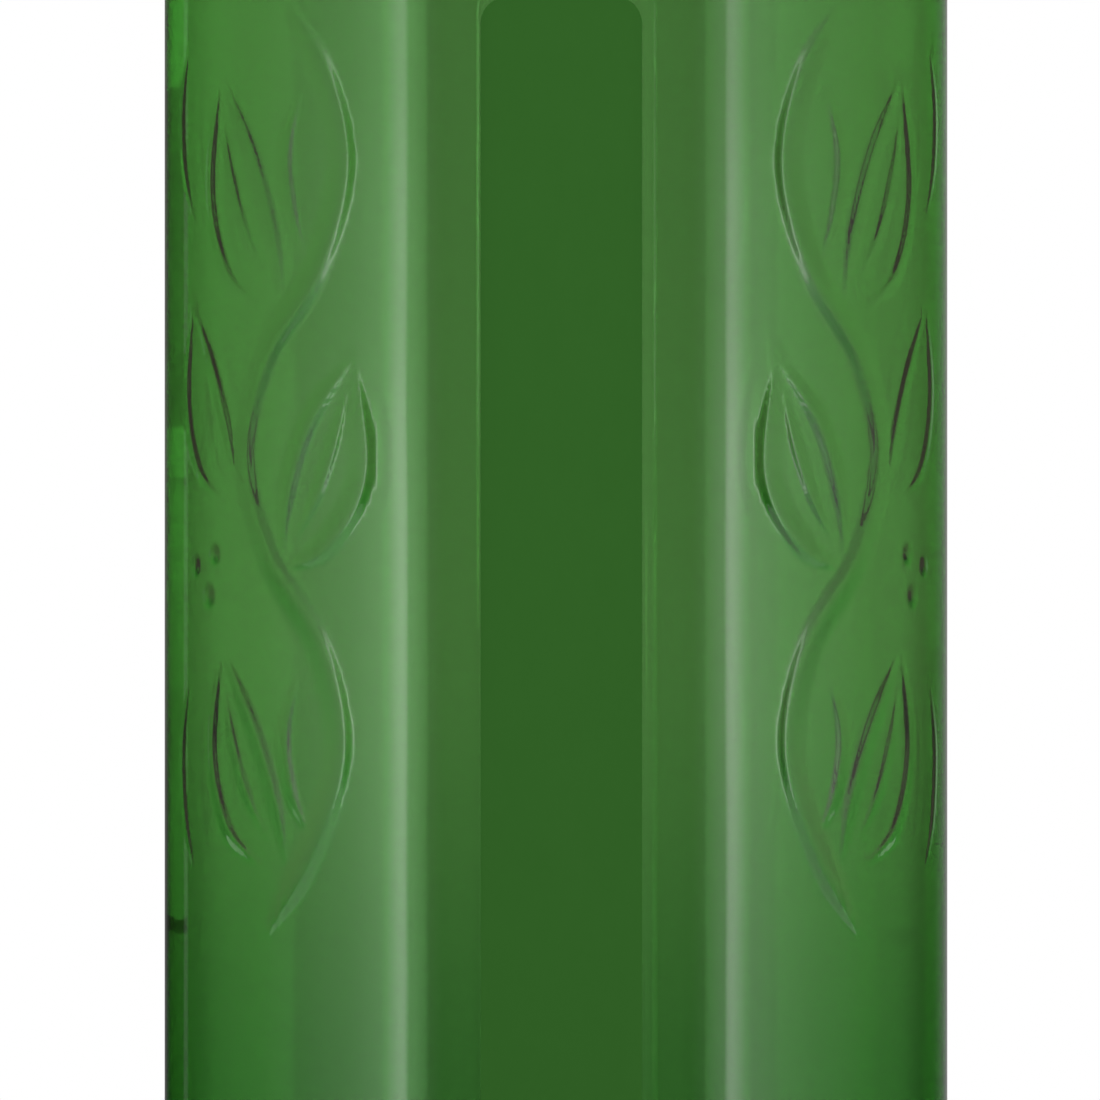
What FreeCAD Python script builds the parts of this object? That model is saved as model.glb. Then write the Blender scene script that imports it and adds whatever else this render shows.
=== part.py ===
"""A round 70 cl gin bottle: green glass with a tall narrow label panel, its gin, its strip label and a T-stopper.

Frame: the origin is the middle of the base on the surface that the bottle stands on, +Z runs up the neck
and the label faces -Y. All sizes are in millimetres.
"""

import FreeCAD
import Part

import math
import os

# Body
BODY_RADIUS = 40.0
WALL = 2.8
SHOULDER_START = 151.0
SHOULDER_RADIUS = 24.0
NECK_RADIUS = 15.2
NECK_FILLET = 16.0

# Base: a standing ring round a pushed-up middle
HEEL_RADIUS = 6.0
RING_WIDTH = 3.5
PUNT_DEPTH = 3.5
BASE_THICKNESS = 8.0
INNER_HEEL_RADIUS = 8.0

# Finish: the collar and mouth at the top of the neck
NECK_LENGTH = 46.0
COLLAR_HEIGHT = 11.0
COLLAR_PROUD = 1.8
COLLAR_UNDERCUT = 1.4
LIP_ROUND = 1.2
MOUTH_RADIUS = 9.4
MOUTH_DEPTH = 24.0
MOUTH_FLARE = 9.0

# Contents
FILL_BELOW_MOUTH = 38.0

# Label panel, let into the front of the body, and the strip label in it
PANEL_WIDTH = 17.6
PANEL_ABOVE_HEEL = 6.0
PANEL_BELOW_SHOULDER = 10.0
PANEL_DEPTH = 0.35
PANEL_CORNER = 3.4
LABEL_SIDE_MARGIN = 0.8
LABEL_END_MARGIN = 2.2
LABEL_CORNER = 2.6
LABEL_THICKNESS = 0.16
LABEL_SHIFT = -0.5

# How far a cutting solid runs past what it cuts
OVERCUT = 1.0

# Stopper
HEAD_RADIUS = 16.0
HEAD_HEIGHT = 16.0
HEAD_EDGE = 1.6
HEAD_WAIST = 0.8
SHANK_LENGTH = 21.0
SHANK_SOCKET = 7.0
SHANK_CHAMFER = 0.9

# Worked out from the above
NECK_START = SHOULDER_START + math.sqrt(
    (SHOULDER_RADIUS + NECK_FILLET) ** 2
    - (BODY_RADIUS - SHOULDER_RADIUS - NECK_RADIUS - NECK_FILLET) ** 2
)
MOUTH_TOP = NECK_START + NECK_LENGTH
COLLAR_BOTTOM = MOUTH_TOP - COLLAR_HEIGHT
COLLAR_RADIUS = NECK_RADIUS + COLLAR_PROUD
FILL_LEVEL = MOUTH_TOP - FILL_BELOW_MOUTH
PANEL_BOTTOM = HEEL_RADIUS + PANEL_ABOVE_HEEL
PANEL_TOP = SHOULDER_START - PANEL_BELOW_SHOULDER


def point(radius, height):
    """A point of a turned profile, which lies in the XZ plane."""
    return FreeCAD.Vector(radius, 0, height)


def line(start, end):
    return Part.LineSegment(point(*start), point(*end)).toShape()


def arc(centre, radius, start_deg, end_deg):
    """An arc of a turned profile. Its angles run from the +X direction towards +Z."""

    def at(angle):
        turn = math.radians(angle)
        return point(centre[0] + radius * math.cos(turn), centre[1] + radius * math.sin(turn))

    return Part.Arc(at(start_deg), at((start_deg + end_deg) / 2), at(end_deg)).toShape()


def turned(edges):
    """The solid that a closed profile sweeps round the Z axis."""
    face = Part.Face(Part.Wire(Part.__sortEdges__(edges)))
    return face.revolve(FreeCAD.Vector(0, 0, 0), FreeCAD.Vector(0, 0, 1), 360)


def shoulder_edges(inset):
    """The body's side, the shoulder and the neck's foot, set in from the outside by a wall's thickness.

    The convex shoulder and the concave fillet under the neck keep their centres, so that they meet
    on one tangent line at any inset.
    """
    crown = (BODY_RADIUS - SHOULDER_RADIUS, SHOULDER_START)
    throat = (NECK_RADIUS + NECK_FILLET, NECK_START)
    lean = math.degrees(math.atan2(throat[1] - crown[1], throat[0] - crown[0]))
    return [
        arc(crown, SHOULDER_RADIUS - inset, 0, lean),
        arc(throat, NECK_FILLET + inset, lean + 180, 180),
    ]


def punt_centre():
    """Height of the centre of the sphere that pushes up the base, and that sphere's radius."""
    edge = BODY_RADIUS - HEEL_RADIUS - RING_WIDTH
    radius = (edge**2 + PUNT_DEPTH**2) / (2 * PUNT_DEPTH)
    return PUNT_DEPTH - radius, radius


def outside_edges():
    """The outer skin, from the middle of the punt down, round the heel and up to the lip."""
    low, radius = punt_centre()
    ring_inner = BODY_RADIUS - HEEL_RADIUS - RING_WIDTH
    ring_outer = BODY_RADIUS - HEEL_RADIUS
    rim = math.degrees(math.atan2(-low, ring_inner))
    return [
        arc((0, low), radius, 90, rim),
        line((ring_inner, 0), (ring_outer, 0)),
        arc((ring_outer, HEEL_RADIUS), HEEL_RADIUS, -90, 0),
        line((BODY_RADIUS, HEEL_RADIUS), (BODY_RADIUS, SHOULDER_START)),
        *shoulder_edges(0),
        line((NECK_RADIUS, NECK_START), (NECK_RADIUS, COLLAR_BOTTOM - COLLAR_UNDERCUT)),
        line((NECK_RADIUS, COLLAR_BOTTOM - COLLAR_UNDERCUT), (COLLAR_RADIUS, COLLAR_BOTTOM)),
        line((COLLAR_RADIUS, COLLAR_BOTTOM), (COLLAR_RADIUS, MOUTH_TOP - LIP_ROUND)),
        arc((COLLAR_RADIUS - LIP_ROUND, MOUTH_TOP - LIP_ROUND), LIP_ROUND, 0, 90),
    ]


def cavity_edges():
    """The inner skin, from the middle of the floor out, up the wall and in to the bottom of the mouth."""
    low, radius = punt_centre()
    dome = radius + BASE_THICKNESS
    corner = BODY_RADIUS - WALL - INNER_HEEL_RADIUS
    corner_height = low + math.sqrt((dome + INNER_HEEL_RADIUS) ** 2 - corner**2)
    lean = math.degrees(math.atan2(corner_height - low, corner))
    neck_bore = NECK_RADIUS - WALL
    mouth_bottom = MOUTH_TOP - MOUTH_DEPTH
    return [
        arc((0, low), dome, 90, lean),
        arc((corner, corner_height), INNER_HEEL_RADIUS, lean - 180, 0),
        line((BODY_RADIUS - WALL, corner_height), (BODY_RADIUS - WALL, SHOULDER_START)),
        *shoulder_edges(WALL),
        line((neck_bore, NECK_START), (neck_bore, mouth_bottom - MOUTH_FLARE)),
        line((neck_bore, mouth_bottom - MOUTH_FLARE), (MOUTH_RADIUS, mouth_bottom)),
    ]


def cavity():
    """The whole hollow of the bottle below the mouth's straight bore."""
    low, radius = punt_centre()
    floor = low + radius + BASE_THICKNESS
    mouth_bottom = MOUTH_TOP - MOUTH_DEPTH
    closing = [
        line((MOUTH_RADIUS, mouth_bottom), (0, mouth_bottom)),
        line((0, mouth_bottom), (0, floor)),
    ]
    return turned(cavity_edges() + closing)


def rounded_strip(width, bottom, top, corner, shift=0.0):
    """A tall prism from the bottle's axis out through its front, with a rounded rectangle for its section."""
    left, right = shift - width / 2, shift + width / 2

    def spot(x, z):
        return FreeCAD.Vector(x, 0, z)

    def corner_arc(x, z, start_deg):
        turns = [math.radians(start_deg + step) for step in (0, 45, 90)]
        return Part.Arc(*[spot(x + corner * math.cos(t), z + corner * math.sin(t)) for t in turns]).toShape()

    edges = [
        Part.LineSegment(spot(left + corner, bottom), spot(right - corner, bottom)).toShape(),
        corner_arc(right - corner, bottom + corner, -90),
        Part.LineSegment(spot(right, bottom + corner), spot(right, top - corner)).toShape(),
        corner_arc(right - corner, top - corner, 0),
        Part.LineSegment(spot(right - corner, top), spot(left + corner, top)).toShape(),
        corner_arc(left + corner, top - corner, 90),
        Part.LineSegment(spot(left, top - corner), spot(left, bottom + corner)).toShape(),
        corner_arc(left + corner, bottom + corner, 180),
    ]
    return Part.Face(Part.Wire(edges)).extrude(FreeCAD.Vector(0, -BODY_RADIUS - OVERCUT, 0))


def tube(inner_radius, outer_radius, bottom, top):
    axis = FreeCAD.Vector(0, 0, 1)
    foot = FreeCAD.Vector(0, 0, bottom)
    outer = Part.makeCylinder(outer_radius, top - bottom, foot, axis)
    return outer.cut(Part.makeCylinder(inner_radius, top - bottom, foot, axis))


def label_panel():
    """What the label panel takes out of the body: a thin curved sheet with rounded corners."""
    sheet = tube(BODY_RADIUS - PANEL_DEPTH, BODY_RADIUS + OVERCUT, PANEL_BOTTOM, PANEL_TOP)
    return sheet.common(rounded_strip(PANEL_WIDTH, PANEL_BOTTOM, PANEL_TOP, PANEL_CORNER))


def bottle_glass():
    """The blown glass: hollow, open at the mouth, with the label panel let into its front."""
    low, radius = punt_centre()
    floor = low + radius + BASE_THICKNESS
    mouth_bottom = MOUTH_TOP - MOUTH_DEPTH
    mouth = [
        line((COLLAR_RADIUS - LIP_ROUND, MOUTH_TOP), (MOUTH_RADIUS, MOUTH_TOP)),
        line((MOUTH_RADIUS, MOUTH_TOP), (MOUTH_RADIUS, mouth_bottom)),
        line((0, floor), (0, PUNT_DEPTH)),
    ]
    return turned(outside_edges() + mouth + cavity_edges()).cut(label_panel())


def gin():
    """The gin, which fills the hollow up to its level in the neck."""
    room = Part.makeCylinder(BODY_RADIUS, FILL_LEVEL)
    return cavity().common(room)


def label():
    """The strip label, which lies on the floor of its panel."""
    floor = BODY_RADIUS - PANEL_DEPTH
    width = PANEL_WIDTH - 2 * LABEL_SIDE_MARGIN
    bottom = PANEL_BOTTOM + LABEL_END_MARGIN
    top = PANEL_TOP - LABEL_END_MARGIN
    sheet = tube(floor, floor + LABEL_THICKNESS, bottom, top)
    return sheet.common(rounded_strip(width, bottom, top, LABEL_CORNER, LABEL_SHIFT))


def stopper_head():
    """The turned head, which stands on the lip and has a socket for the cork."""
    top = MOUTH_TOP + HEAD_HEIGHT
    foot = HEAD_RADIUS - HEAD_WAIST
    return turned(
        [
            line((0, top), (HEAD_RADIUS - HEAD_EDGE, top)),
            arc((HEAD_RADIUS - HEAD_EDGE, top - HEAD_EDGE), HEAD_EDGE, 90, 0),
            line((HEAD_RADIUS, top - HEAD_EDGE), (foot, MOUTH_TOP + HEAD_WAIST)),
            line((foot, MOUTH_TOP + HEAD_WAIST), (foot - HEAD_WAIST, MOUTH_TOP)),
            line((foot - HEAD_WAIST, MOUTH_TOP), (MOUTH_RADIUS, MOUTH_TOP)),
            line((MOUTH_RADIUS, MOUTH_TOP), (MOUTH_RADIUS, MOUTH_TOP + SHANK_SOCKET)),
            line((MOUTH_RADIUS, MOUTH_TOP + SHANK_SOCKET), (0, MOUTH_TOP + SHANK_SOCKET)),
            line((0, MOUTH_TOP + SHANK_SOCKET), (0, top)),
        ]
    )


def stopper_cork():
    """The cork shank, which fills the mouth's bore and the head's socket."""
    bottom = MOUTH_TOP - SHANK_LENGTH
    top = MOUTH_TOP + SHANK_SOCKET
    return turned(
        [
            line((0, top), (MOUTH_RADIUS, top)),
            line((MOUTH_RADIUS, top), (MOUTH_RADIUS, bottom + SHANK_CHAMFER)),
            line((MOUTH_RADIUS, bottom + SHANK_CHAMFER), (MOUTH_RADIUS - SHANK_CHAMFER, bottom)),
            line((MOUTH_RADIUS - SHANK_CHAMFER, bottom), (0, bottom)),
            line((0, bottom), (0, top)),
        ]
    )


PIECES = {
    "bottle_glass": bottle_glass,
    "gin": gin,
    "label": label,
    "stopper_head": stopper_head,
    "stopper_cork": stopper_cork,
}

os.makedirs("parts", exist_ok=True)
for node, make in PIECES.items():
    shape = make()
    shape.exportStep(os.path.join("parts", node + ".step"))
    print(f"{node}: {len(shape.Solids)} solid, {shape.Volume / 1000:.2f} cm3, valid {shape.isValid()}")
print(f"mouth at {MOUTH_TOP:.1f} mm, neck from {NECK_START:.1f} mm, gin up to {FILL_LEVEL:.1f} mm")
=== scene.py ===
import bpy
import bmesh
import math
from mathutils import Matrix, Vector
from mathutils.geometry import interpolate_bezier
from mathutils.kdtree import KDTree


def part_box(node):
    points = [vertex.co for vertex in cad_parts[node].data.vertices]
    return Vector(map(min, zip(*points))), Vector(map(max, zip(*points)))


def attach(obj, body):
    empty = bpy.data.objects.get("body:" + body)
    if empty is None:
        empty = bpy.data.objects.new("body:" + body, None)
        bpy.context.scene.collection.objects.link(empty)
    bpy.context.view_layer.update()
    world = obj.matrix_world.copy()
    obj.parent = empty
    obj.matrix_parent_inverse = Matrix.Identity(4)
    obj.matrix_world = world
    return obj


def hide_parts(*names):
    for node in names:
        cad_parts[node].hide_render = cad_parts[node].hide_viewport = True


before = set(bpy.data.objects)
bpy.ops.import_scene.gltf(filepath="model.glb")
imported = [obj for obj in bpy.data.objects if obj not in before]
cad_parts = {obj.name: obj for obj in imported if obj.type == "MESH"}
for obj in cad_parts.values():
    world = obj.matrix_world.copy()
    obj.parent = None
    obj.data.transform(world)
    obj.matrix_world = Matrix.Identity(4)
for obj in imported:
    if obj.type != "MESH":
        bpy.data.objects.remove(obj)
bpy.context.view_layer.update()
mm = 0.001
sameSpot = 0.01       # millimetres; points closer than this are one
scene = bpy.context.scene
scene.view_settings.view_transform = "Standard"

# small helpers shared by the pieces


def smooth(t):
    t = min(max(t, 0.0), 1.0)
    return t * t * (3.0 - 2.0 * t)


def makePiece(name, bm, smoothAngle=None):
    mesh = bpy.data.meshes.new(name)
    bm.to_mesh(mesh)
    bm.free()
    piece = bpy.data.objects.new(name, mesh)
    scene.collection.objects.link(piece)
    mesh.shade_smooth()
    if smoothAngle is not None:
        mesh.set_sharp_from_angle(angle=math.radians(smoothAngle))
    return piece


def arcPoints(centre, radius, startDeg, endDeg, steps):
    # points of an arc in the (radius, height) plane, angles from outwards towards up
    points = []
    for i in range(steps + 1):
        turn = math.radians(startDeg + (endDeg - startDeg) * i / steps)
        points.append((centre[0] + radius * math.cos(turn), centre[1] + radius * math.sin(turn)))
    return points


def linePoints(start, end, steps):
    return [
        (start[0] + (end[0] - start[0]) * i / steps, start[1] + (end[1] - start[1]) * i / steps)
        for i in range(steps + 1)
    ]


def turnProfile(points, columns):
    # spins an open profile, given in millimetres, round the Z axis
    bm = bmesh.new()
    kept = [points[0]]
    for p in points[1:]:
        if math.dist(p, kept[-1]) > sameSpot:
            kept.append(p)
    verts = [bm.verts.new((r * mm, 0, z * mm)) for r, z in kept]
    edges = [bm.edges.new(pair) for pair in zip(verts, verts[1:])]
    bmesh.ops.spin(
        bm, geom=verts + edges, cent=(0, 0, 0), axis=(0, 0, 1), dvec=(0, 0, 0),
        angle=math.tau, steps=columns, use_merge=True, use_duplicate=False,
    )
    bmesh.ops.remove_doubles(bm, verts=bm.verts[:], dist=sameSpot * mm / 2)
    bmesh.ops.recalc_face_normals(bm, faces=bm.faces[:])
    return bm


# the bottle: its sizes repeat the CAD model's, in millimetres

bottle = {
    "bodyRadius": (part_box("bottle_glass")[1].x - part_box("bottle_glass")[0].x) / 2 / mm,
    "mouthTop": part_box("bottle_glass")[1].z / mm,
    "fillLevel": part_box("gin")[1].z / mm,
    "wall": 2.8,
    "shoulderStart": 151.0,
    "shoulderRadius": 24.0,
    "neckRadius": 15.2,
    "neckFillet": 16.0,
    "heelRadius": 6.0,
    "ringWidth": 3.5,
    "puntDepth": 3.5,
    "baseThickness": 8.0,
    "innerHeelRadius": 8.0,
    "neckLength": 46.0,
    "collarHeight": 11.0,
    "collarProud": 1.8,
    "collarUndercut": 1.4,
    "lipRound": 1.2,
    "mouthRadius": 9.4,
    "mouthDepth": 24.0,
    "mouthFlare": 9.0,
    "ringRound": 0.6,         # small rounds: the standing ring's inner edge
    "neckRound": 0.5,         # where the neck meets the collar's underside, and at the mouth
    "collarRound": 0.7,
    "collarStep": 0.25,       # the collar's lower round ends this far above its bottom
    "columns": 104,           # faces round the bottle before the relief is refined
    "rowHeight": 2.4,         # their height on the body
    "arcSteps": 10,           # faces along the heel's arc and the punt
    "wallRows": 12,           # faces along the cavity's floor and along its straight wall
    "shoulderSteps": 14,      # faces along each of the shoulder's two arcs
    "skinDepth": 0.5,         # what lies closer than this to the body's radius is its outer skin
}
neckStart = bottle["mouthTop"] - bottle["neckLength"]


def puntSphere():
    # the height of the middle and the radius of the sphere that the base is pushed up by
    edge = bottle["bodyRadius"] - bottle["heelRadius"] - bottle["ringWidth"]
    radius = (edge ** 2 + bottle["puntDepth"] ** 2) / (2 * bottle["puntDepth"])
    return bottle["puntDepth"] - radius, radius


def shoulderPoints(inset):
    # the shoulder from the body up to the neck, moved towards the bottle's inside by inset
    steps = bottle["shoulderSteps"]
    crown = (bottle["bodyRadius"] - bottle["shoulderRadius"], bottle["shoulderStart"])
    throat = (bottle["neckRadius"] + bottle["neckFillet"], neckStart)
    lean = math.degrees(math.atan2(throat[1] - crown[1], throat[0] - crown[0]))
    return (
        arcPoints(crown, bottle["shoulderRadius"] - inset, 0, lean, steps)
        + arcPoints(throat, bottle["neckFillet"] + inset, lean + 180, 180, steps)
    )


def outsidePoints():
    # the outer skin from the middle of the base up to the lip
    b = bottle
    low, radius = puntSphere()
    ringInner = b["bodyRadius"] - b["heelRadius"] - b["ringWidth"]
    ringOuter = b["bodyRadius"] - b["heelRadius"]
    ringEdge = ringInner + b["ringRound"]
    collarBottom = b["mouthTop"] - b["collarHeight"]
    collarRadius = b["neckRadius"] + b["collarProud"]
    collarEdge = collarBottom + b["collarStep"]
    neckEnd = collarBottom - b["collarUndercut"] - b["neckRound"]
    lipStart = b["mouthTop"] - b["lipRound"]
    rim = math.degrees(math.atan2(-low, ringInner))
    bodyRows = round((b["shoulderStart"] - b["heelRadius"]) / b["rowHeight"])
    return (
        arcPoints((0, low), radius, 90, rim, b["arcSteps"])
        + arcPoints((ringEdge, b["ringRound"]), b["ringRound"], -110, -90, 2)
        + linePoints((ringEdge, 0), (ringOuter, 0), 2)
        + arcPoints((ringOuter, b["heelRadius"]), b["heelRadius"], -90, 0, b["arcSteps"])
        + linePoints((b["bodyRadius"], b["heelRadius"]), (b["bodyRadius"], b["shoulderStart"]), bodyRows)
        + shoulderPoints(0)
        + linePoints((b["neckRadius"], neckStart), (b["neckRadius"], neckEnd), 6)
        + arcPoints((b["neckRadius"] + b["neckRound"], neckEnd), b["neckRound"], 180, 135, 3)
        + arcPoints((collarRadius - b["collarRound"], collarEdge), b["collarRound"], -45, 0, 4)
        + linePoints((collarRadius, collarEdge), (collarRadius, lipStart), 3)
        + arcPoints((collarRadius - b["lipRound"], lipStart), b["lipRound"], 0, 90, 6)
        + [(collarRadius - b["lipRound"], b["mouthTop"])]
    )


def cavityPoints(inset, topPart):
    # the inner skin from the middle of the floor upwards, moved into the wall by inset
    b = bottle
    low, radius = puntSphere()
    dome = radius + b["baseThickness"] - inset
    corner = b["bodyRadius"] - b["wall"] - b["innerHeelRadius"]
    cornerHeight = low + math.sqrt((radius + b["baseThickness"] + b["innerHeelRadius"]) ** 2 - corner ** 2)
    lean = math.degrees(math.atan2(cornerHeight - low, corner))
    inner = b["bodyRadius"] - b["wall"] + inset
    return (
        arcPoints((0, low), dome, 90, lean, b["wallRows"])
        + arcPoints((corner, cornerHeight), b["innerHeelRadius"] + inset, lean - 180, 0, b["arcSteps"])
        + linePoints((inner, cornerHeight), (inner, b["shoulderStart"]), b["wallRows"])
        + shoulderPoints(b["wall"] - inset)
        + topPart
    )


# the relief: a climbing vine, drawn on a quarter of the body

vine = {
    "bottom": 46.0,        # height of the relief's foot, millimetres
    "height": 0.26,        # how far the crest of the boldest leaf stands out
    "berryHeight": 0.16,
    "fadeLength": 8.0,     # a stroke swells and fades over this much of its ends,
    "fadeShare": 0.4,      # but over no more than this share of its length
    "endWidth": 0.4,       # width of a stroke's ends, as a share of its middle's
    "fullness": 0.7,       # below 1, a stroke stands out sooner than it widens
    "sideChange": 1.1,     # how quickly the crisp side turns into the soft one round a stroke's end
    "samples": 90,         # points along a stroke between two of its knots
    "searchMargin": 0.6,   # how far beyond its soft side a stroke is looked for
}

# Each stroke runs through its points, in millimetres: across from the front's middle line along the
# body's curve, and up from the relief's foot. It has a crest with a steep side towards the front and a
# soft side away from it; the two widths and the strength follow the points.
strokes = [
    # the stem, which winds up in two bends
    (((33.6, -1.0), (27.4, 7.0), (23.4, 18.0), (26.0, 29.0), (33.0, 38.0), (36.4, 47.5), (33.2, 57.0),
      (26.4, 65.5), (23.0, 76.0), (25.2, 85.5), (30.4, 93.0)), 1.4, 2.8, 0.95),
    # the large leaf beside the panel: two edges and the rib
    (((31.0, 36.0), (25.0, 38.4), (20.8, 45.6), (22.0, 57.0)), 1.3, 2.6, 0.95),
    (((31.2, 37.0), (30.2, 43.5), (27.4, 50.5), (22.0, 57.4)), 1.1, 2.0, 0.85),
    (((29.6, 38.6), (26.4, 43.4), (24.2, 49.0), (22.8, 54.6)), 0.8, 1.5, 0.6),
    # the low leaf behind the stem
    (((34.4, 6.4), (39.8, 10.4), (42.6, 18.0), (41.0, 28.0)), 0.9, 1.8, 0.7),
    (((30.6, 6.4), (32.0, 13.0), (35.4, 20.6), (40.6, 28.2)), 1.1, 2.0, 0.75),
    (((33.6, 9.4), (36.6, 14.0), (39.0, 19.6), (40.4, 24.6)), 0.8, 1.5, 0.5),
    # the high leaf behind the stem
    (((34.6, 62.4), (40.0, 66.2), (43.0, 74.4), (41.2, 85.6)), 0.9, 1.8, 0.7),
    (((31.0, 62.6), (32.4, 69.8), (35.6, 78.0), (40.8, 85.8)), 1.1, 2.0, 0.75),
    (((33.8, 65.6), (37.0, 70.6), (39.4, 76.6), (40.8, 82.0)), 0.8, 1.5, 0.5),
    # the leaf at the far bend
    (((41.0, 43.0), (46.0, 46.6), (48.6, 53.4), (47.4, 62.6)), 0.8, 1.6, 0.65),
    (((38.0, 43.6), (39.8, 50.2), (42.8, 56.8), (47.0, 62.6)), 0.9, 1.7, 0.65),
    # short shoots inside the two near bends
    (((27.2, 9.0), (29.6, 13.6), (30.6, 19.4), (29.0, 25.4)), 0.9, 1.7, 0.75),
    (((27.6, 66.4), (29.6, 71.6), (30.4, 77.6), (28.6, 84.0)), 0.9, 1.7, 0.75),
    # tendrils towards the back
    (((46.6, 5.0), (49.4, 11.0), (50.2, 18.0), (48.4, 25.0)), 0.7, 1.4, 0.5),
    (((47.0, 71.0), (49.8, 77.0), (50.2, 83.0), (48.4, 89.0)), 0.7, 1.4, 0.5),
]
# each berry's place, as above, and its radius
berries = [(43.6, 33.4, 1.6), (46.6, 36.4, 1.4), (42.4, 37.6, 1.4)]


def strokeSamples(stroke):
    # close samples along one stroke: place, the two side widths and the strength there
    knots, crisp, soft, strength = stroke
    ends = (2 * Vector(knots[0]) - Vector(knots[1]), 2 * Vector(knots[-1]) - Vector(knots[-2]))
    chain = [ends[0]] + [Vector(k) for k in knots] + [ends[1]]
    points = []
    for before, start, end, after in zip(chain, chain[1:], chain[2:], chain[3:]):
        handleA = start + (end - before) / 6
        handleB = end - (after - start) / 6
        piece = interpolate_bezier(*[v.to_3d() for v in (start, handleA, handleB, end)], vine["samples"])
        points += piece[1:] if points else piece
    along = [0.0]
    for start, end in zip(points, points[1:]):
        along.append(along[-1] + (end - start).length)
    fadeLength = min(vine["fadeLength"], vine["fadeShare"] * along[-1])
    samples = []
    for p, far in zip(points, along):
        taper = smooth(far / fadeLength) * smooth((along[-1] - far) / fadeLength)
        wide = vine["endWidth"] + (1 - vine["endWidth"]) * taper
        samples.append((p.x, p.y, crisp * wide, soft * wide, strength * taper ** vine["fullness"]))
    return samples


class Relief:
    # the height of the ornament at any place on the quarter

    def __init__(self):
        self.parts = []
        for stroke in strokes:
            samples = strokeSamples(stroke)
            tree = KDTree(len(samples))
            for i, sample in enumerate(samples):
                tree.insert((sample[0], sample[1], 0), i)
            tree.balance()
            reach = stroke[2] + vine["searchMargin"]
            box = (
                min(s[0] for s in samples) - reach, max(s[0] for s in samples) + reach,
                min(s[1] for s in samples) - reach, max(s[1] for s in samples) + reach,
            )
            self.parts.append((tree, samples, box))

    def nearest(self, x, y):
        # the strokes close by, each with the distance from its crest, that side's width and the strength
        for tree, samples, box in self.parts:
            if box[0] < x < box[1] and box[2] < y < box[3]:
                place, i, far = tree.find((x, y, 0))
                sx, sy, crisp, soft, strength = samples[i]
                towardsFront = (sx - x) / max(far, 0.001)    # never divided by nothing
                yield far, soft + (crisp - soft) * smooth(0.5 + vine["sideChange"] * towardsFront), strength

    def near(self, x, y, margin, reach, weakest):
        # whether a crest of some strength, or its slopes as far as reach, comes within the margin
        for far, width, strength in self.nearest(x, y):
            if far < min(width, reach) + margin and strength > weakest:
                return True
        return any(math.hypot(x - bx, y - by) < br + margin for bx, by, br in berries)

    def height(self, x, y):
        top = 0.0
        for far, width, strength in self.nearest(x, y):
            top = max(top, vine["height"] * strength * (1 - smooth(far / width)))
        for bx, by, br in berries:
            far = math.hypot(x - bx, y - by)
            if far < br:
                top = max(top, vine["berryHeight"] * (1 - (far / br) ** 2) ** 2)
        return top


relief = Relief()

# the panel in the bottle's front, in millimetres
panel = {
    "width": 17.6,
    "bottom": 12.0,
    "top": 141.0,
    "corner": 3.4,
    "depth": 0.35,
    "lowEdge": 1.08,         # width of its rounded edge low down,
    "highEdge": 0.68,        # and high up
    "edgeFrom": 62.0,        # the edge narrows from this height on,
    "edgeOver": 40.0,        # over this much of height
    "gatherReach": 0.6,      # the mesh is drawn towards the edge from this far
}
# each level of refining halves the faces that it picks on the body's outer skin
refining = {
    # per level: its reach from a crest, the weakest crest that counts, and whether only on the front
    "levels": ((9.0, 0.03, False), (9.0, 0.03, False), (0.75, 0.03, False), (0.15, 0.3, True)),
    "quickLevels": 3,
    "edgeShare": 0.6,        # half the width picked along the panel's edge, as a share of that edge
}
normalStep = 0.04            # the slopes are measured over this distance to each side, millimetres


def panelDistance(x, z):
    # distance out of the panel's rounded outline, negative inside it
    midZ = (panel["bottom"] + panel["top"]) / 2
    dx = abs(x) - (panel["width"] / 2 - panel["corner"])
    dz = abs(z - midZ) - ((panel["top"] - panel["bottom"]) / 2 - panel["corner"])
    return math.hypot(max(dx, 0), max(dz, 0)) + min(max(dx, dz), 0) - panel["corner"]


def gatherAtEdge(x, z):
    # moves a place beside the panel's edge closer to it, so that the mesh is densest where it bends most
    far = panelDistance(x, z)
    reach = panel["gatherReach"]
    if abs(far) >= reach:
        return x, z
    slopeX = (panelDistance(x + sameSpot, z) - far) / sameSpot
    slopeZ = (panelDistance(x, z + sameSpot) - far) / sameSpot
    pull = far * math.sqrt(abs(far) / reach) - far
    return x + slopeX * pull, z + slopeZ * pull


def quarterPlace(x, y, z):
    # a place on the body, folded onto the quarter that the relief is drawn on
    turn = abs(math.atan2(x, -y))
    turn = min(turn, math.pi - turn)
    return turn * bottle["bodyRadius"], z - vine["bottom"]


def onBody(x, y, z, slack=0.0):
    # whether a place is on the outer skin of the body's straight part
    if math.hypot(x, y) < bottle["bodyRadius"] - bottle["skinDepth"]:
        return False
    return bottle["heelRadius"] - slack < z < bottle["shoulderStart"] + slack


def besidePanel(x, y):
    return y < 0 and abs(x) < panel["width"]


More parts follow.
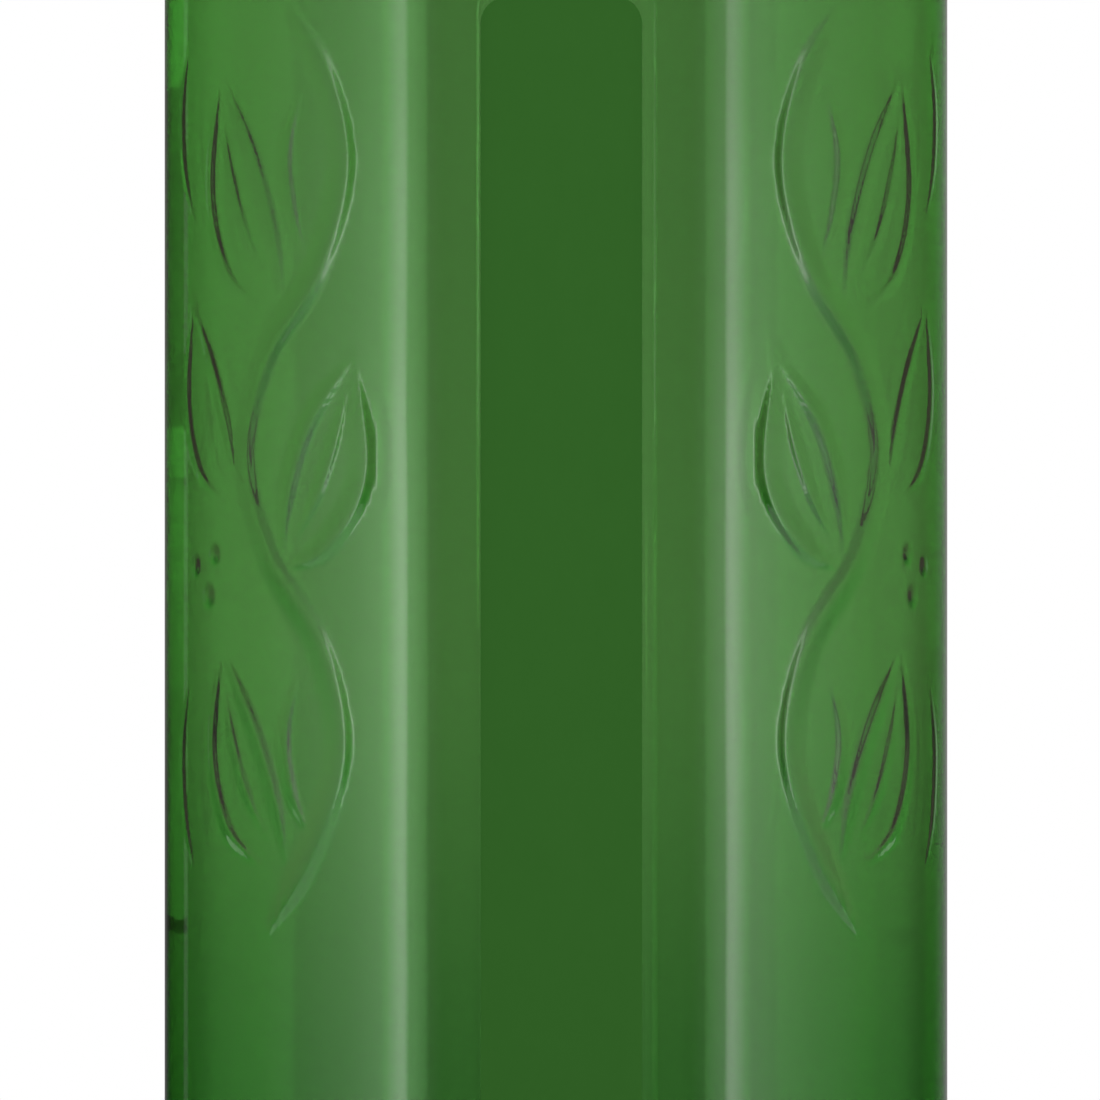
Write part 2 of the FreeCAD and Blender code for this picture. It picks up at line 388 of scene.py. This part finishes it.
def refineBody(bm):
    # splits the faces near the relief and the panel's edge, finer at each level
    size = bottle["rowHeight"]
    levels = refining["levels"]
    for reach, weakest, onlyFront in levels:
        chosen = set()
        margin = size / 2
        for face in bm.faces:
            x, y, z = face.calc_center_median() / mm
            if not onBody(x, y, z) or (onlyFront and y > 0):
                continue
            hit = relief.near(*quarterPlace(x, y, z), margin, reach, weakest)
            if besidePanel(x, y) and not onlyFront:
                hit = hit or abs(panelDistance(x, z)) < panel["lowEdge"] * refining["edgeShare"] + margin
            if hit:
                chosen.update(face.edges)
        edges = [edge for edge in bm.edges if edge in chosen]
        bmesh.ops.subdivide_edges(bm, edges=edges, cuts=1, use_grid_fill=True)
        for vert in bm.verts:
            x, y, z = vert.co / mm
            if onBody(x, y, z, sameSpot):
                outwards = bottle["bodyRadius"] / math.hypot(x, y)
                vert.co.x *= outwards
                vert.co.y *= outwards
        size /= 2
        print("refined the body to", len(bm.faces), "faces")


def bodyRise(x, y, z):
    # how far the surface stands out of the plain cylinder, less than nothing in the panel
    rise = relief.height(*quarterPlace(x, y, z))
    if besidePanel(x, y):
        narrowed = smooth((z - panel["edgeFrom"]) / panel["edgeOver"])
        edge = panel["lowEdge"] + (panel["highEdge"] - panel["lowEdge"]) * narrowed
        rise -= panel["depth"] * smooth(0.5 - panelDistance(x, z) / edge)
    return rise


def carveBody(bm):
    # raises the relief and sinks the panel
    radius = bottle["bodyRadius"]
    for vert in bm.verts:
        x, y, z = vert.co / mm
        if not onBody(x, y, z):
            continue
        if besidePanel(x, y):
            x, z = gatherAtEdge(x, z)
            y = -math.sqrt(radius ** 2 - x ** 2)
        vert.co = Vector((x, y, 0)) * mm * (1 + bodyRise(x, y, z) / radius) + Vector((0, 0, z * mm))


def shadeBody(mesh):
    # the body's normals follow the relief itself, so that long thin faces beside it do not show
    step = normalStep
    normals = [v.normal.copy() for v in mesh.vertices]
    for i, vert in enumerate(mesh.vertices):
        x, y, z = vert.co / mm
        if not onBody(x, y, z):
            continue
        out = Vector((x, y, 0)).normalized()
        place = out * bottle["bodyRadius"]
        aside = Vector((-out.y, out.x, 0))
        further, nearer = place + aside * step, place - aside * step
        across = bodyRise(further.x, further.y, z) - bodyRise(nearer.x, nearer.y, z)
        up = bodyRise(place.x, place.y, z + step) - bodyRise(place.x, place.y, z - step)
        normals[i] = (out - aside * across / (2 * step) - Vector((0, 0, up / (2 * step)))).normalized()
    mesh.normals_split_custom_set_from_vertices(normals)


def makeBottle():
    b = bottle
    mouthBottom = b["mouthTop"] - b["mouthDepth"]
    neckBore = b["neckRadius"] - b["wall"]
    flareStart = mouthBottom - b["mouthFlare"]
    neck = linePoints((neckBore, neckStart), (neckBore, flareStart), 3) + [(b["mouthRadius"], mouthBottom)]
    bore = [
        (b["mouthRadius"] + b["neckRound"], b["mouthTop"]),
        (b["mouthRadius"], b["mouthTop"] - b["neckRound"]),
    ]
    bm = turnProfile(outsidePoints() + bore + cavityPoints(0, neck)[::-1], b["columns"])
    refineBody(bm)
    carveBody(bm)
    bmesh.ops.recalc_face_normals(bm, faces=bm.faces[:])
    shell = makePiece("bottleShell", bm)
    shadeBody(shell.data)
    return shell


# the gin, in millimetres
filling = {
    "into": 0.08,            # how far it reaches into the wall
    "climb": 0.9,            # how much higher its surface stands at the wall
    "climbWidth": 3.2,       # over this distance from the wall
    "climbSteps": 7,
    "ior": 1.355,
    "rippleScale": 60.0,
    "rippleDepth": 0.04,
    "rippleFade": 0.2,       # the ripple ends this far below the surface
}


def makeGin():
    b = bottle
    edge = b["neckRadius"] - b["wall"] + filling["into"]
    surface = [(edge, b["fillLevel"])]
    for i in range(1, filling["climbSteps"] + 1):
        t = i / filling["climbSteps"]
        surface.append((
            edge - filling["climbWidth"] * t,
            b["fillLevel"] - filling["climb"] * (1 - (1 - t) ** 2),
        ))
    surface.append((0, b["fillLevel"] - filling["climb"]))
    return makePiece("ginBody", turnProfile(cavityPoints(filling["into"], surface), b["columns"]))


# the strip label

label = {
    "margin": 0.8,           # between its sides and the panel's, millimetres as all sizes here
    "endMargin": 2.2,
    "corner": 2.6,
    "cornerSteps": 10,
    "thickness": 0.16,
    "shift": -0.5,           # how far it stands off the panel's middle
    "sunk": 0.05,            # how far it reaches into the glass
    "rimBevel": 0.05,
    "columns": 20,
    "darkTone": (0.0215, 0.0945, 0.0122),
    "lightTone": (0.0277, 0.1085, 0.0170),
    "roughness": 0.62,
    "shine": 0.04,
    "fibreScale": 420.0,
    "fibreDepth": 0.03,
}


def bevelEdges(bm, edges, offset, steps):
    bmesh.ops.bevel(
        bm, geom=edges, offset=offset, offset_type="OFFSET", affect="EDGES", segments=steps,
        profile=0.5, material=-1, clamp_overlap=True,
    )


def makeLabel():
    # a flat plate first, which is then bent round the bottle
    width = panel["width"] - 2 * label["margin"]
    height = panel["top"] - panel["bottom"] - 2 * label["endMargin"]
    depth = label["thickness"] + label["sunk"]
    bm = bmesh.new()
    bmesh.ops.create_cube(bm, size=1.0)
    bmesh.ops.scale(bm, vec=(width, depth, height), verts=bm.verts[:])
    corners = [e for e in bm.edges if abs(e.verts[0].co.y - e.verts[1].co.y) > depth / 2]
    bevelEdges(bm, corners, label["corner"], label["cornerSteps"])
    bevelEdges(bm, [e for e in bm.edges if all(v.co.y < 0 for v in e.verts)], label["rimBevel"], 2)
    for i in range(1, label["columns"]):
        bmesh.ops.bisect_plane(
            bm, geom=bm.verts[:] + bm.edges[:] + bm.faces[:], dist=0.0001,
            plane_co=(width * (i / label["columns"] - 0.5), 0, 0), plane_no=(1, 0, 0),
        )
    floor = bottle["bodyRadius"] - panel["depth"]
    midZ = (panel["bottom"] + panel["top"]) / 2
    for vert in bm.verts:
        x = vert.co.x + label["shift"]
        out = floor + depth / 2 - vert.co.y - label["sunk"]
        vert.co = Vector((x, -math.sqrt(out ** 2 - x ** 2), vert.co.z + midZ)) * mm
    bmesh.ops.recalc_face_normals(bm, faces=bm.faces[:])
    return makePiece("stripLabel", bm, 30)


# the cork shank

cork = {
    "radius": 9.45,          # millimetres, a little more than the mouth's
    "chamfer": 0.9,          # round its lower end
    "gap": 0.1,              # between its top and the head
    "topBevel": 0.2,
    "columns": 72,
    "darkTone": (0.50, 0.33, 0.19),
    "lightTone": (0.66, 0.48, 0.31),
    "jointTone": (0.25, 0.14, 0.07),
    "pitTone": (0.20, 0.105, 0.05),
    "granuleScale": 560.0,
    "pitScale": 900.0,
    "pitDepth": 0.15,
    "roughness": 0.86,
}


def makeCork():
    low, high = (v.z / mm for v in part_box("stopper_cork"))
    r = cork["radius"]
    top = high - cork["gap"]
    bottom = low + cork["chamfer"]
    points = (
        linePoints((0, top), (r - cork["topBevel"], top), 3)
        + linePoints((r, top - cork["topBevel"]), (r, bottom), 12)
        + arcPoints((r - cork["chamfer"], bottom), cork["chamfer"], 0, -90, 4)
        + [(0, low)]
    )
    return makePiece("corkShank", turnProfile(points, cork["columns"]), 40)


# materials


class Nodes:
    # lays out the nodes of one material or group

    def __init__(self, tree):
        self.tree = tree

    def feed(self, socket, value):
        # sets a socket to a number or a colour, or joins another node's output to it
        if isinstance(value, bpy.types.NodeSocket):
            self.tree.links.new(value, socket)
        elif socket.type == "RGBA" and isinstance(value, tuple):
            socket.default_value = (*value, 1)
        else:
            socket.default_value = value

    def put(self, node, **sockets):
        for name, value in sockets.items():
            self.feed(node.inputs[name.replace("_", " ")], value)

    def add(self, kind, **sockets):
        node = self.tree.nodes.new(kind)
        self.put(node, **sockets)
        return node

    def calc(self, operation, first, second=None):
        node = self.add("ShaderNodeMath")
        node.operation = operation
        self.feed(node.inputs[0], first)
        if second is not None:
            self.feed(node.inputs[1], second)
        return node.outputs[0]

    def times(self, first, *others):
        for value in others:
            first = self.calc("MULTIPLY", first, value)
        return first

    def plus(self, first, *others):
        for value in others:
            first = self.calc("ADD", first, value)
        return first

    def fade(self, value, start, end, low=0.0, high=1.0):
        # a smooth change from low to high while value goes from start to end
        node = self.add("ShaderNodeMapRange", Value=value)
        node.interpolation_type = "SMOOTHSTEP"
        if start > end:
            start, end, low, high = end, start, high, low
        self.put(node, From_Min=start, From_Max=end, To_Min=low, To_Max=high)
        return node.outputs["Result"]

    def band(self, value, start, end, soft):
        # 1 from start to end, with soft edges, and 0 outside
        inwards = self.fade(value, start - soft / 2, start + soft / 2)
        return self.times(inwards, self.fade(value, end + soft / 2, end - soft / 2))

    def blend(self, factor, first, second, kind="MIX"):
        node = self.add("ShaderNodeMix")
        node.data_type = "RGBA"
        node.blend_type = kind
        self.put(node, Factor=factor, A=first, B=second)
        return node.outputs["Result"]

    def place(self):
        return self.add("ShaderNodeTexCoord").outputs["Object"]

    def shifted(self, operation, amount):
        # the place, moved or stretched axis by axis
        node = self.add("ShaderNodeVectorMath")
        node.operation = operation
        self.feed(node.inputs[0], self.place())
        self.feed(node.inputs[1], amount)
        return node.outputs[0]

    def axes(self):
        split = self.add("ShaderNodeSeparateXYZ", Vector=self.place())
        return split.outputs["X"], split.outputs["Y"], split.outputs["Z"]

    def rings(self, **sockets):
        node = self.add("ShaderNodeTexWave", **sockets)
        node.wave_type = "RINGS"
        node.rings_direction = "Z"
        return node.outputs["Fac"]

    def bump(self, height, distance, strength=1.0):
        return self.add("ShaderNodeBump", Height=height, Distance=distance, Strength=strength)

    def group(self, tree, **sockets):
        node = self.add("ShaderNodeGroup")
        node.node_tree = tree
        self.put(node, **sockets)
        return node


def newMaterial(name):
    material = bpy.data.materials.new(name)
    material.use_nodes = True
    parts = material.node_tree.nodes
    return material, Nodes(material.node_tree), parts["Principled BSDF"], parts["Material Output"]


def newGroup(name, inputs, output, outputKind):
    # a node group with numbers or vectors going in and one value or normal coming out
    tree = bpy.data.node_groups.new(name, "ShaderNodeTree")
    for label, kind in inputs:
        tree.interface.new_socket(label, in_out="INPUT", socket_type=kind)
    tree.interface.new_socket(output, in_out="OUTPUT", socket_type=outputKind)
    nodes = Nodes(tree)
    return tree, nodes, nodes.add("NodeGroupInput").outputs, nodes.add("NodeGroupOutput").inputs[output]


def makeWaves():
    # the faint unevenness of moulded glass, as a normal
    inputs = (("Size", "NodeSocketFloat"), ("Depth", "NodeSocketFloat"))
    group, nodes, given, result = newGroup("mouldWaves", inputs, "Normal", "NodeSocketVector")
    broad = nodes.add(
        "ShaderNodeTexNoise", Detail=1.5, Roughness=0.4, Scale=given["Size"],
        Vector=nodes.shifted("MULTIPLY", (1.0, 1.0, 0.45)),
    )
    nodes.feed(result, nodes.bump(broad.outputs["Fac"], given["Depth"]).outputs["Normal"])
    return group


def makeGrain():
    # two sizes of noise, as a value round 0.5 that any piece can use
    inputs = (("Scale", "NodeSocketFloat"), ("Stretch", "NodeSocketVector"))
    group, nodes, given, result = newGroup("fineGrain", inputs, "Value", "NodeSocketFloat")
    place = nodes.shifted("MULTIPLY", given["Stretch"])
    coarse = nodes.add("ShaderNodeTexNoise", Detail=4.0, Roughness=0.55, Vector=place, Scale=given["Scale"])
    fineScale = nodes.times(given["Scale"], 5.3)
    fine = nodes.add("ShaderNodeTexNoise", Detail=2.0, Roughness=0.5, Vector=place, Scale=fineScale)
    coarsePart = nodes.times(coarse.outputs["Fac"], 0.6)
    nodes.feed(result, nodes.plus(coarsePart, nodes.times(fine.outputs["Fac"], 0.4)))
    return group


waves = makeWaves()
grain = makeGrain()

glass = {
    "throughTwoWalls": (0.0286, 0.1167, 0.0202),   # light left after both walls, by colour
    "ior": 1.52,
    "waveScale": 90.0,           # the skin's faint unevenness
    "waveDepth": 0.03 * mm,
    "stippleFull": 1.2 * mm,     # the standing ring is stippled up to here,
    "stippleEnd": 2.6 * mm,      # and no further than this
    "stippleScale": 760.0,
    "stippleDepth": 0.4 * mm,
    "stippleStrength": 0.8,
}


def makeGreenGlass():
    material, nodes, shader, output = newMaterial("greenGlass")
    nodes.put(shader, Base_Color=(1, 1, 1), Roughness=0.0, IOR=glass["ior"], Transmission_Weight=1.0)
    uneven = nodes.group(waves, Size=glass["waveScale"], Depth=glass["waveDepth"])
    low = nodes.fade(nodes.axes()[2], glass["stippleEnd"], glass["stippleFull"])
    dots = nodes.add("ShaderNodeTexVoronoi", Scale=glass["stippleScale"], Vector=nodes.place())
    raised = nodes.calc("SUBTRACT", 1.0, dots.outputs["Distance"])
    stipple = nodes.bump(raised, glass["stippleDepth"], nodes.times(low, glass["stippleStrength"]))
    nodes.put(stipple, Normal=uneven.outputs["Normal"])
    nodes.put(shader, Normal=stipple.outputs["Normal"])
    path = 2 * bottle["wall"] * mm
    loss = [-math.log(t) / path for t in glass["throughTwoWalls"]]
    tint = nodes.add(
        "ShaderNodeVolumeAbsorption", Density=max(loss), Color=tuple(1 - v / max(loss) for v in loss),
    )
    nodes.put(output, Volume=tint.outputs["Volume"])
    return material


def makeGinLook():
    material, nodes, shader, output = newMaterial("clearGin")
    nodes.put(shader, Base_Color=(1, 1, 1), Roughness=0.0, IOR=filling["ior"], Transmission_Weight=1.0)
    # only the open surface moves a little, as if the bottle had just been set down
    top = (bottle["fillLevel"] - filling["climb"]) * mm
    ripple = nodes.rings(Scale=filling["rippleScale"], Distortion=1.5, Vector=nodes.place())
    atTop = nodes.fade(nodes.axes()[2], top - filling["rippleFade"] * mm, top)
    nodes.put(shader, Normal=nodes.bump(ripple, filling["rippleDepth"] * mm, atTop).outputs["Normal"])
    return material


def makeLabelPaper():
    material, nodes, shader, output = newMaterial("labelPaper")
    fibres = nodes.group(grain, Scale=label["fibreScale"], Stretch=(1.0, 1.0, 0.5)).outputs["Value"]
    tone = nodes.times(nodes.calc("SUBTRACT", fibres, 0.5), 0.5)
    nodes.put(
        shader, Roughness=label["roughness"], Specular_IOR_Level=label["shine"],
        Base_Color=nodes.blend(nodes.plus(tone, 0.5), label["darkTone"], label["lightTone"]),
        Normal=nodes.bump(fibres, label["fibreDepth"] * mm, 0.25).outputs["Normal"],
    )
    return material


# the stopper's head, in its own shape: turned wood with the grain along the bottle's axis, oiled
wood = {
    "earlyTone": (0.30, 0.165, 0.082),
    "lateTone": (0.205, 0.102, 0.046),
    "fibreTone": (0.36, 0.21, 0.11),
    "poreTone": (0.10, 0.048, 0.022),
    "fibreShare": 0.6,           # how strongly the fibres and the pores colour it
    "poreShare": 0.45,
    "ringScale": 95.0,
    "heart": (0.021, 0.008, 0.0),   # metres from the tree's middle to the head's
    "fibreScale": 150.0,
    "poreScale": 900.0,
    "poreDepth": 0.08,           # millimetres
    "roughness": (0.36, 0.5),
    "coat": 0.15,
}


def makeWood():
    material, nodes, shader, output = newMaterial("stopperWood")
    long = nodes.group(grain, Scale=wood["fibreScale"], Stretch=(1.0, 1.0, 0.08)).outputs["Value"]
    fromHeart = nodes.shifted("ADD", wood["heart"])
    rings = nodes.rings(Scale=wood["ringScale"], Distortion=1.6, Detail=2.0, Vector=fromHeart)
    drawnOut = nodes.shifted("MULTIPLY", (1.0, 1.0, 0.12))
    flecks = nodes.add("ShaderNodeTexVoronoi", Scale=wood["poreScale"], Vector=drawnOut)
    pores = nodes.fade(flecks.outputs["Distance"], 0.32, 0.1)
    body = nodes.blend(rings, wood["earlyTone"], wood["lateTone"])
    body = nodes.blend(nodes.times(long, wood["fibreShare"]), body, wood["fibreTone"])
    body = nodes.blend(nodes.times(pores, wood["poreShare"]), body, wood["poreTone"])
    smoothest, roughest = wood["roughness"]
    rough = nodes.add("ShaderNodeMapRange", Value=long, To_Min=smoothest, To_Max=roughest)
    raised = nodes.calc("SUBTRACT", long, pores)
    nodes.put(
        shader, Base_Color=body, Roughness=rough.outputs["Result"], Coat_Weight=wood["coat"],
        Coat_Roughness=0.3, Normal=nodes.bump(raised, wood["poreDepth"] * mm, 0.3).outputs["Normal"],
    )
    return material


def makeCorkLook():
    # pressed cork: pale granules of several tones with dark joints and small pits
    material, nodes, shader, output = newMaterial("naturalCork")
    crumbs = nodes.add("ShaderNodeTexVoronoi", Scale=cork["granuleScale"], Vector=nodes.place())
    joints = nodes.add("ShaderNodeTexVoronoi", Scale=cork["granuleScale"], Vector=nodes.place())
    joints.feature = "DISTANCE_TO_EDGE"
    tone = nodes.add("ShaderNodeSeparateColor", Color=crumbs.outputs["Color"]).outputs["Red"]
    pits = nodes.group(grain, Scale=cork["pitScale"], Stretch=(1.0, 1.0, 1.0)).outputs["Value"]
    pit = nodes.fade(pits, 0.56, 0.64)
    seam = nodes.fade(joints.outputs["Distance"], 0.07, 0.015)
    body = nodes.blend(tone, cork["darkTone"], cork["lightTone"])
    body = nodes.blend(nodes.times(seam, 0.6), body, cork["jointTone"])
    body = nodes.blend(nodes.times(pit, 0.7), body, cork["pitTone"])
    raised = nodes.calc("SUBTRACT", 1.0, nodes.calc("MAXIMUM", seam, pit))
    nodes.put(
        shader, Base_Color=body, Roughness=cork["roughness"],
        Normal=nodes.bump(raised, cork["pitDepth"] * mm, 0.6).outputs["Normal"],
    )
    return material


# studio: floor, light tent, world, lamps and camera

studio = {
    "floorRadius": 0.55,
    "tentRadius": 0.45,
    "tentHeight": 0.9,
    "tentBelowFloor": 0.2,
    "bottleTurn": 1.5,        # degrees that the label faces away from the camera
    "lens": 400.0,
    "sensor": 36.0,
    "cameraHeight": 84.0,     # in millimetres, as the next two
    "cameraAside": -0.61,
    "frameWidth": 112.5,
    "dimSky": 0.75,           # brightness of the world where it is mirrored or lights something
    "paperTones": ((0.84, 0.84, 0.84), (0.88, 0.88, 0.88)),
}

# What the outer skin mirrors. Each change by height or angle is a start, an end, and the levels there,
# which are 0 and 1 where none are given. Heights are in millimetres, angles in degrees.
mirrored = {
    "middle": 1.7,            # degrees that the pattern's middle is turned from the front towards +X
    # brightness of the tent by degrees from that middle: two upright softboxes with graded sides
    "boxes": (
        (35, 0.0), (38.5, 0.15), (41, 0.54), (43.5, 0.88), (44.9, 1.0), (46.0, 3.0), (47.6, 3.15),
        (49.6, 2.2), (51.6, 1.25), (56, 0.98), (64, 0.64), (78, 0.36), (95, 0.13), (112, 0.08),
        (128, 0.02), (140, 0.0),
    ),
    "boxesByHeight": ((118, 96, 0.84, 1.06), (150, 128, 0.8, 1.0), (10, 90, 0.98, 1.15)),
    "haze": (0.46, 0.45, 0.26),        # a weak glow all round, which fades towards the floor and the back
    "hazeByHeight": (2, 82),
    "hazeByAngle": (155, 80, 0.06, 1.0),
    "stripe": (-139.0, -135.4, 1.0),   # a faint one behind on the left: from, to and its edges' softness
    "stripeLevel": 0.12,
    "rimTurn": 8.0,                    # the glow behind the bottle, which its outermost edges mirror
    "rimByAngle": (144, 182, 0.0, 0.32),
}

# what shows through the glass, by degrees from straight behind the bottle
through = {
    "backdrop": (
        (0, 1.0), (9.2, 1.0), (10.2, 1.3), (11.1, 1.5), (12.6, 1.7), (14.4, 1.58), (18.1, 1.56),
        (24, 1.74), (30, 1.93), (35, 1.83), (39, 1.62), (43, 1.64), (48, 2.4), (53, 3.0), (58, 3.4),
        (62, 3.3), (66, 2.6), (70, 1.2), (75, 0.06), (90, 0.06),
    ),
    "backdropByHeight": (2, 70, 1.06, 1.36),
    "sidesByAngle": (30, 42, 0.0, 0.42),     # both sides grow brighter with height
    "sidesByHeight": (30, 158),
    "dimmedByAngle": (24, 34),               # the right side is a little darker, most of all low down
    "dimmedByHeight": (55, 25, 0.08, 0.18),
    # the card that stands behind on the right, from the first angle on, and its brightness by height
    "cardByAngle": (45.8, 46.3),
    "cardSteps": (
        (-60, 0.85), (30.3, 0.2), (31.9, 1.1), (77.7, 1.25), (92.4, 0.9), (93.6, 1.4), (100.6, 0.72),
        (149, 1.4), (200, 1.4),
    ),
    "innerBand": (124.5, 138.6, 1.2),        # the softboxes as the glass's inner skin shows them, as above
    "innerLevel": 5.5,
    "roomByAngle": (141, 147, 0.0, 0.55),    # the room in front of the bottle, which its back shows
}


def brightnessRamp(nodes, value, stops, interpolation="LINEAR"):
    # a ramp over the stops' own range, scaled so that no stop is over 1
    first, last = stops[0][0], stops[-1][0]
    top = max(level for place, level in stops)
    ramp = nodes.add("ShaderNodeValToRGB")
    ramp.color_ramp.interpolation = interpolation
    elements = ramp.color_ramp.elements
    while len(elements) < len(stops):
        elements.new(0.5)
    for element, (place, level) in zip(elements, stops):
        element.position = (place - first) / (last - first)
        element.color = (level / top, level / top, level / top, 1)
    nodes.put(ramp, Fac=nodes.calc("DIVIDE", nodes.calc("SUBTRACT", value, first), last - first))
    return nodes.times(ramp.outputs["Color"], top)


def mirroredLight(nodes, fromFront, high):
    aside = nodes.calc("ABSOLUTE", nodes.calc("SUBTRACT", fromFront, mirrored["middle"]))
    boxes = brightnessRamp(nodes, aside, mirrored["boxes"])
    for change in mirrored["boxesByHeight"]:
        boxes = nodes.times(boxes, nodes.fade(high, *change))
    hazeLevel = nodes.times(
        nodes.fade(high, *mirrored["hazeByHeight"]), nodes.fade(aside, *mirrored["hazeByAngle"]),
    )
    stripe = nodes.times(nodes.band(fromFront, *mirrored["stripe"]), mirrored["stripeLevel"])
    behind = nodes.calc("ABSOLUTE", nodes.plus(fromFront, mirrored["rimTurn"]))
    rim = nodes.fade(behind, *mirrored["rimByAngle"])
    haze = nodes.blend(hazeLevel, (0, 0, 0), mirrored["haze"])
    return nodes.blend(1.0, haze, nodes.plus(boxes, stripe, rim), "ADD")


def lightThrough(nodes, fromFront, fromBehind, high):
    off = nodes.calc("ABSOLUTE", fromBehind)
    aside = nodes.calc("ABSOLUTE", nodes.calc("SUBTRACT", fromFront, mirrored["middle"]))
    backdrop = nodes.times(
        brightnessRamp(nodes, off, through["backdrop"]), nodes.fade(high, *through["backdropByHeight"]),
    )
    sides = nodes.times(
        nodes.fade(off, *through["sidesByAngle"]), nodes.fade(high, *through["sidesByHeight"]),
    )
    dimmed = nodes.times(
        nodes.fade(fromBehind, *through["dimmedByAngle"]), nodes.fade(high, *through["dimmedByHeight"]),
    )
    steps = brightnessRamp(nodes, high, through["cardSteps"], "CONSTANT")
    card = nodes.times(nodes.fade(fromBehind, *through["cardByAngle"]), nodes.calc("SUBTRACT", steps, 1.0))
    backdrop = nodes.times(
        backdrop, nodes.plus(1.0, sides), nodes.calc("SUBTRACT", 1.0, dimmed), nodes.plus(1.0, card),
    )
    boxAngle = nodes.calc("ABSOLUTE", nodes.calc("SUBTRACT", 180, aside))
    inner = nodes.times(nodes.band(boxAngle, *through["innerBand"]), through["innerLevel"])
    return nodes.plus(backdrop, inner, nodes.fade(off, *through["roomByAngle"]))


def makeTentGlow():
    # the tent gives one light to reflections and another to what shows through the glass
    material = bpy.data.materials.new("tentGlow")
    material.use_nodes = True
    nodes = Nodes(material.node_tree)
    parts = material.node_tree.nodes
    parts.remove(parts["Principled BSDF"])
    x, y, z = nodes.axes()
    high = nodes.calc("DIVIDE", z, mm)
    toDegrees = 180 / math.pi
    fromFront = nodes.times(nodes.calc("ARCTAN2", x, nodes.times(y, -1)), toDegrees)
    fromBehind = nodes.times(nodes.calc("ARCTAN2", x, y), toDegrees)
    ray = nodes.add("ShaderNodeLightPath")
    colour = nodes.blend(
        ray.outputs["Is Transmission Ray"], mirroredLight(nodes, fromFront, high),
        lightThrough(nodes, fromFront, fromBehind, high),
    )
    glow = nodes.add("ShaderNodeEmission", Color=colour)
    nodes.put(parts["Material Output"], Surface=glow.outputs[0])
    return material


def makeTent():
    bm = bmesh.new()
    bmesh.ops.create_cone(
        bm, cap_ends=False, segments=96, radius1=studio["tentRadius"], radius2=studio["tentRadius"],
        depth=studio["tentHeight"],
    )
    up = studio["tentHeight"] / 2 - studio["tentBelowFloor"]
    bmesh.ops.translate(bm, vec=(0, 0, up), verts=bm.verts[:])
    tent = makePiece("lightTent", bm)
    tent.data.materials.append(makeTentGlow())
    tent.visible_camera = False
    tent.visible_diffuse = False
    tent.visible_shadow = False
    tent.visible_volume_scatter = False


def makeFloor():
    bm = bmesh.new()
    bmesh.ops.create_circle(bm, cap_ends=True, segments=128, radius=studio["floorRadius"])
    floor = makePiece("floorDisc", bm)
    material, nodes, shader, output = newMaterial("paleFloor")
    paper = nodes.group(grain, Scale=60.0, Stretch=(1.0, 1.0, 1.0)).outputs["Value"]
    nodes.put(shader, Base_Color=nodes.blend(paper, *studio["paperTones"]), Roughness=0.7)
    floor.data.materials.append(material)


def makeWorld():
    world = bpy.data.worlds.new("studioWorld")
    scene.world = world
    world.use_nodes = True
    nodes = Nodes(world.node_tree)
    ray = nodes.add("ShaderNodeLightPath")
    seen = nodes.calc("MAXIMUM", ray.outputs["Is Camera Ray"], ray.outputs["Is Transmission Ray"])
    level = nodes.add("ShaderNodeMapRange", Value=seen, To_Min=studio["dimSky"], To_Max=1.0)
    nodes.put(world.node_tree.nodes["Background"], Color=(1, 1, 1), Strength=level.outputs[0])


lamps = {
    "size": (0.8, 0.8),
    "target": (0, 0, 0.12),
    "keyLamp": ((-0.9, -0.9, 1.1), 9),      # place in metres, watts
    "fillLamp": ((1.0, -0.7, 0.8), 6),
}


def makeLamp(name):
    place, power = lamps[name]
    lamp = bpy.data.lights.new(name, "AREA")
    lamp.shape = "RECTANGLE"
    lamp.size, lamp.size_y = lamps["size"]
    lamp.energy = power
    holder = bpy.data.objects.new(name, lamp)
    scene.collection.objects.link(holder)
    holder.location = place
    holder.rotation_euler = (Vector(place) - Vector(lamps["target"])).to_track_quat("Z", "Y").to_euler()
    holder.visible_camera = False
    holder.visible_glossy = False
    holder.visible_transmission = False


def makeCamera():
    lens = bpy.data.cameras.new("camera")
    lens.lens = studio["lens"]
    lens.sensor_width = studio["sensor"]
    lens.clip_end = 100
    holder = bpy.data.objects.new("camera", lens)
    scene.collection.objects.link(holder)
    far = studio["frameWidth"] * mm * studio["lens"] / studio["sensor"]
    turn = math.radians(studio["bottleTurn"])
    aside = studio["cameraAside"] * mm
    holder.location = (
        -far * math.sin(turn) + aside * math.cos(turn),
        -far * math.cos(turn) - aside * math.sin(turn),
        studio["cameraHeight"] * mm,
    )
    holder.rotation_euler = (math.pi / 2, 0, -turn)
    scene.camera = holder


def replaceNode(piece, look, node):
    piece.data.materials.append(look)
    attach(piece, "root")
    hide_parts(node)


print("studio")
makeWorld()
makeTent()
makeFloor()
makeLamp("keyLamp")
makeLamp("fillLamp")
makeCamera()

print("bottle")
shell = makeBottle()
replaceNode(shell, makeGreenGlass(), "bottle_glass")

print("gin")
gin = makeGin()
replaceNode(gin, makeGinLook(), "gin")

print("label")
strip = makeLabel()
replaceNode(strip, makeLabelPaper(), "label")

print("stopper")
shank = makeCork()
replaceNode(shank, makeCorkLook(), "stopper_cork")
woodLook = makeWood()
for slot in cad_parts["stopper_head"].material_slots:
    slot.material = woodLook

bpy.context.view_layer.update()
for piece in (shell, gin, strip, shank):
    print(piece.name, sum(len(p.vertices) - 2 for p in piece.data.polygons), "triangles")
